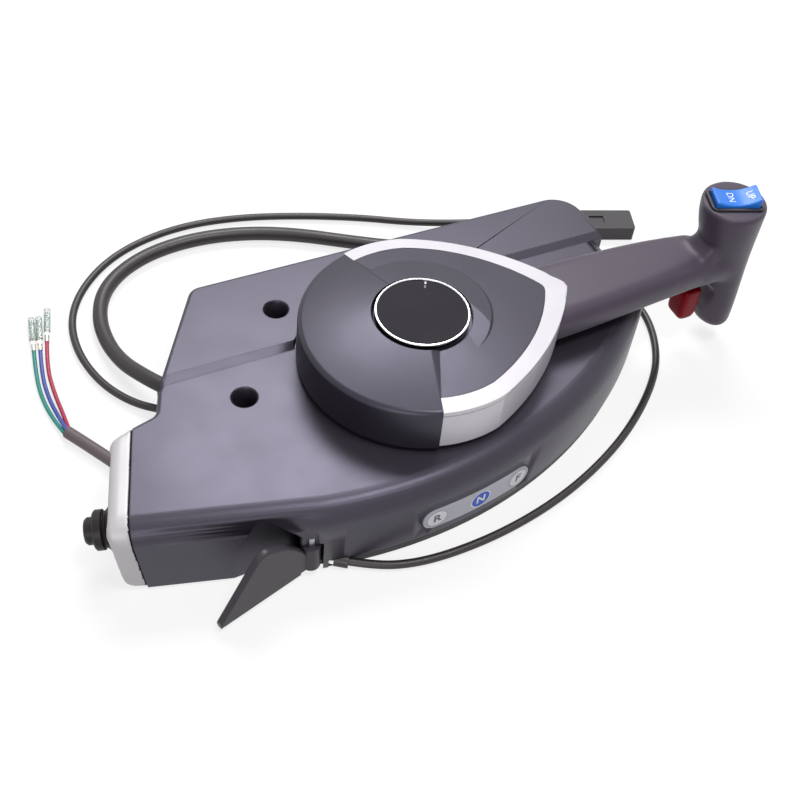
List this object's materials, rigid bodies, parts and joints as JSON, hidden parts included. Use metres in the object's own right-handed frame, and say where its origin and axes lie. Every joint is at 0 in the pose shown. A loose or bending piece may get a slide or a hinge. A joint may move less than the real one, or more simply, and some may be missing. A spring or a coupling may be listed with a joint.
{
  "type": "side mount engine remote control",
  "caption": "Side-mount outboard remote control box with a swinging throttle and shift lever, trim rocker, neutral lock trigger, end switches, harness and pigtail.",
  "frame": {"origin": "lever shaft axis on the mounting face", "axes": "+Z out of the boat's side panel along the shaft, +X along the lever in neutral, +Y the way the lever goes for one gear"},
  "size_m": [0.4104, 0.2997, 0.1117],
  "materials": {
    "housing plastic": "satin dark grey",
    "back plastic": "moulded black",
    "bezel silver": "satin silver paint",
    "panel black": "moulded black",
    "switch black": "semi-gloss black",
    "lock metal": "bright nickel",
    "zinc steel": "zinc plated",
    "gear steel": "machined steel",
    "bush plastic": "natural acetal",
    "inner plastic": "moulded black",
    "hub plastic": "satin dark grey",
    "trim silver": "satin silver paint",
    "ring chrome": "bright",
    "badge black": "semi-gloss black",
    "arm plastic": "soft dark grey",
    "paddle plastic": "satin dark grey",
    "trigger red": "dark red",
    "rocker blue": "bright blue",
    "frame black": "moulded dark grey",
    "plate silver": "satin silver paint",
    "cord rubber": "black",
    "sleeve dark": "brown black tubing",
    "plug plastic": "black",
    "terminal metal": "tinned",
    "boot clear": "clear sleeve",
    "wire teal": "teal insulation",
    "wire blue": "blue insulation",
    "wire red": "red insulation"
  },
  "bodies": {
    "case": {"front_case": "housing plastic", "back_case": "back plastic", "end_bezel": "bezel silver", "switch_panel": "panel black", "stop_switch": "switch black", "ignition_switch": "lock metal", "switch_nuts": "lock metal", "case_screws": "zinc steel", "free_throttle_pin": "zinc steel", "detent_spring": "zinc steel", "cable_anchor": "zinc steel", "shift_stud": "zinc steel", "throttle_stud": "zinc steel", "detent_roller": "zinc steel", "lower_bush": "bush plastic", "upper_bush": "bush plastic", "neutral_switch": "inner plastic", "warning_buzzer": "inner plastic", "gear_plate": "plate silver", "harness_cord": "cord rubber", "trim_lead": "cord rubber", "harness_gland": "cord rubber", "lead_glands": "cord rubber", "pigtail_gland": "cord rubber", "port_seals": "cord rubber", "pigtail_sleeve": "sleeve dark", "harness_plug": "plug plastic", "plug_pins": "terminal metal", "wire_terminals": "terminal metal", "terminal_boots": "boot clear", "wire_teal": "wire teal", "wire_blue": "wire blue", "wire_red": "wire red"},
    "lever": {"drive_shaft": "gear steel", "shaft_spacers": "gear steel", "drive_pinion": "gear steel", "throttle_cam": "gear steel", "detent_plate": "gear steel", "hub_base": "inner plastic", "hub_trim": "trim silver", "hub_face": "hub plastic", "hub_cover": "hub plastic", "badge_ring": "ring chrome", "badge_disc": "badge black", "hub_bolt": "zinc steel", "hub_washer": "zinc steel", "lever_arm": "arm plastic", "trim_switch_frame": "frame black", "rocker_pin": "zinc steel"},
    "neutral_lock": {"neutral_lock_trigger": "trigger red", "lock_rod": "zinc steel"},
    "trim_switch": {"trim_rocker": "rocker blue"},
    "shift_arm": {"shift_sector": "gear steel"},
    "throttle_link": {"throttle_arm": "gear steel", "cam_roller": "zinc steel"},
    "free_throttle": {"free_throttle_lever": "paddle plastic"},
    "stop_knob": {"stop_button": "switch black"},
    "key_lock": {"ignition_barrel": "lock metal"}
  },
  "joints": [
    {"name": "lever_swing", "type": "hinge", "parent": "case", "child": "lever", "pos_m": [0, 0, 0], "axis": [0, 0, 1], "range_deg": [-60, 80]},
    {"name": "neutral_lock_squeeze", "type": "slide", "parent": "lever", "child": "neutral_lock", "axis": [1, 0, 0], "range_m": [0, 0.006], "stiffness_N_per_m": 1200},
    {"name": "trim_rock", "type": "hinge", "parent": "lever", "child": "trim_switch", "pos_m": [0.194, -0.002, 0.103], "axis": [0.342, 0.9397, 0], "range_deg": [-7, 7], "stiffness_Nm_per_rad": 1.5},
    {"name": "shift_swing", "type": "hinge", "parent": "case", "child": "shift_arm", "pos_m": [0.01488, 0.05554, 0.017], "axis": [0, 0, 1], "range_deg": [-60, 60]},
    {"name": "throttle_swing", "type": "hinge", "parent": "case", "child": "throttle_link", "pos_m": [-0.052, -0.028, 0.03], "axis": [0, 0, 1], "range_deg": [-25, 20]},
    {"name": "free_throttle_swing", "type": "hinge", "parent": "case", "child": "free_throttle", "pos_m": [-0.09231, -0.07485, 0.012], "axis": [0, 0, 1], "range_deg": [0, 50]},
    {"name": "stop_push", "type": "slide", "parent": "case", "child": "stop_knob", "axis": [0.9458, -0.3073, 0.1045], "range_m": [0, 0.003], "stiffness_N_per_m": 1500},
    {"name": "key_turn", "type": "hinge", "parent": "case", "child": "key_lock", "pos_m": [-0.17151, -0.01057, 0.02134], "axis": [-0.9458, 0.3073, -0.1045], "range_deg": [0, 90]}
  ],
  "couplings": [
    {"joint": "shift_swing", "follows": "lever_swing", "ratio": -0.53333},
    {"joint": "throttle_swing", "follows": "lever_swing", "ratio": -0.25}
  ]
}
